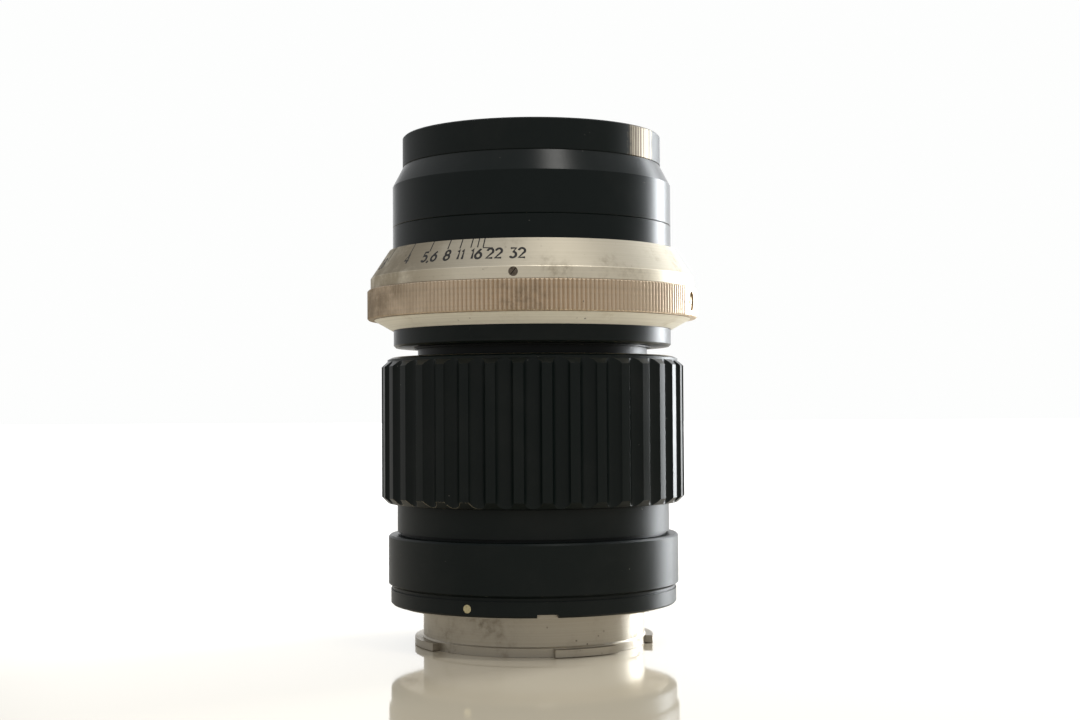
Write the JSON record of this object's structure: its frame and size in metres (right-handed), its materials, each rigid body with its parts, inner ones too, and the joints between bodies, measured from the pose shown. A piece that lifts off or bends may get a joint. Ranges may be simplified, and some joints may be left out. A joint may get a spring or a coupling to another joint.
{
  "type": "enlarger lens",
  "caption": "Darkroom enlarger lens with an iris, on a fluted helicoid focusing mount with a three-lug bayonet and a filter thread in front.",
  "frame": {"origin": "centre of the bayonet tube's rear edge, on the surface that the lens stands on", "axes": "+Z along the optical axis towards the front rim; -Y is the side that carries the aperture numbers"},
  "size_m": [0.0658, 0.0658, 0.1006],
  "materials": {
    "black_anodised": "satin black anodised aluminium",
    "chromed_mount": "satin chrome on brass, worn",
    "bright_aluminium": "turned aluminium, stained",
    "knurl_metal": "dull nickel worn to brass",
    "screw_steel": "dull steel",
    "nut_brass": "turned brass",
    "index_paint": "cream paint",
    "optical_glass": "coated, polished",
    "carriage_metal": "black anodised thread",
    "blade_steel": "blued steel"
  },
  "bodies": {
    "mount": {"bayonet_mount": "chromed_mount", "mount_screws": "screw_steel", "rear_ring": "black_anodised", "index_dot": "index_paint", "fixed_barrel": "black_anodised", "guide_keys": "screw_steel", "key_screws": "screw_steel", "nut_retainer": "black_anodised", "focus_stop_pin": "screw_steel", "mount_baffle": "black_anodised"},
    "focus_ring": {"focus_grip": "black_anodised", "focus_nut": "nut_brass", "grip_lock_ring": "black_anodised"},
    "lens_head": {"lens_carriage": "carriage_metal", "carriage_baffle": "black_anodised", "adapter_flange": "black_anodised", "adapter_screws": "screw_steel", "main_barrel": "bright_aluminium", "front_barrel_lower": "black_anodised", "front_barrel_upper": "black_anodised", "front_rim": "black_anodised", "name_ring": "black_anodised", "front_cell": "black_anodised", "front_spacer_ring": "black_anodised", "rear_cell": "black_anodised", "rear_spacer_ring": "black_anodised", "rear_retaining_ring": "black_anodised", "front_element": "optical_glass", "front_inner_crown": "optical_glass", "front_inner_flint": "optical_glass", "rear_inner_flint": "optical_glass", "rear_inner_crown": "optical_glass", "rear_element": "optical_glass", "iris_base_plate": "black_anodised", "iris_cover_ring": "black_anodised"},
    "aperture_ring": {"scale_ring": "bright_aluminium", "knurled_ring": "knurl_metal", "knurl_set_screw": "screw_steel", "drive_pin_screw": "screw_steel", "iris_drive_ring": "black_anodised"},
    "iris_blade_1": {"iris_blade_1": "blade_steel"},
    "iris_blade_2": {"iris_blade_2": "blade_steel"},
    "iris_blade_3": {"iris_blade_3": "blade_steel"},
    "iris_blade_4": {"iris_blade_4": "blade_steel"},
    "iris_blade_5": {"iris_blade_5": "blade_steel"},
    "iris_blade_6": {"iris_blade_6": "blade_steel"},
    "iris_blade_7": {"iris_blade_7": "blade_steel"},
    "iris_blade_8": {"iris_blade_8": "blade_steel"},
    "iris_blade_9": {"iris_blade_9": "blade_steel"}
  },
  "joints": [
    {"name": "focus_turn", "type": "hinge", "parent": "mount", "child": "focus_ring", "pos_m": [0, 0, 0.042], "axis": [0, 0, 1], "range_deg": [-270, 0]},
    {"name": "focus_travel", "type": "slide", "parent": "mount", "child": "lens_head", "axis": [0, 0, 1], "range_m": [0, 0.015]},
    {"name": "aperture_turn", "type": "hinge", "parent": "lens_head", "child": "aperture_ring", "pos_m": [0, 0, 0.071], "axis": [0, 0, 1], "range_deg": [-49, 0]},
    {"name": "iris_blade_1_swing", "type": "hinge", "parent": "lens_head", "child": "iris_blade_1", "pos_m": [0.02035, -0.00246, 0.0663], "axis": [0, 0, 1], "range_deg": [-32.4, 0]},
    {"name": "iris_blade_2_swing", "type": "hinge", "parent": "lens_head", "child": "iris_blade_2", "pos_m": [0.01717, 0.0112, 0.0663], "axis": [0, 0, 1], "range_deg": [-32.4, 0]},
    {"name": "iris_blade_3_swing", "type": "hinge", "parent": "lens_head", "child": "iris_blade_3", "pos_m": [0.00596, 0.01961, 0.0663], "axis": [0, 0, 1], "range_deg": [-32.4, 0]},
    {"name": "iris_blade_4_swing", "type": "hinge", "parent": "lens_head", "child": "iris_blade_4", "pos_m": [-0.00804, 0.01886, 0.0663], "axis": [0, 0, 1], "range_deg": [-32.4, 0]},
    {"name": "iris_blade_5_swing", "type": "hinge", "parent": "lens_head", "child": "iris_blade_5", "pos_m": [-0.01828, 0.00927, 0.0663], "axis": [0, 0, 1], "range_deg": [-32.4, 0]},
    {"name": "iris_blade_6_swing", "type": "hinge", "parent": "lens_head", "child": "iris_blade_6", "pos_m": [-0.01997, -0.00465, 0.0663], "axis": [0, 0, 1], "range_deg": [-32.4, 0]},
    {"name": "iris_blade_7_swing", "type": "hinge", "parent": "lens_head", "child": "iris_blade_7", "pos_m": [-0.01231, -0.01639, 0.0663], "axis": [0, 0, 1], "range_deg": [-32.4, 0]},
    {"name": "iris_blade_8_swing", "type": "hinge", "parent": "lens_head", "child": "iris_blade_8", "pos_m": [0.00111, -0.02047, 0.0663], "axis": [0, 0, 1], "range_deg": [-32.4, 0]},
    {"name": "iris_blade_9_swing", "type": "hinge", "parent": "lens_head", "child": "iris_blade_9", "pos_m": [0.01401, -0.01497, 0.0663], "axis": [0, 0, 1], "range_deg": [-32.4, 0]}
  ],
  "couplings": [
    {"joint": "focus_travel", "follows": "focus_turn", "m_per_rad": -0.0031831},
    {"joint": "iris_blade_1_swing", "follows": "aperture_turn", "ratio": 0.65918},
    {"joint": "iris_blade_2_swing", "follows": "aperture_turn", "ratio": 0.65918},
    {"joint": "iris_blade_3_swing", "follows": "aperture_turn", "ratio": 0.65918},
    {"joint": "iris_blade_4_swing", "follows": "aperture_turn", "ratio": 0.65918},
    {"joint": "iris_blade_5_swing", "follows": "aperture_turn", "ratio": 0.65918},
    {"joint": "iris_blade_6_swing", "follows": "aperture_turn", "ratio": 0.65918},
    {"joint": "iris_blade_7_swing", "follows": "aperture_turn", "ratio": 0.65918},
    {"joint": "iris_blade_8_swing", "follows": "aperture_turn", "ratio": 0.65918},
    {"joint": "iris_blade_9_swing", "follows": "aperture_turn", "ratio": 0.65918}
  ]
}
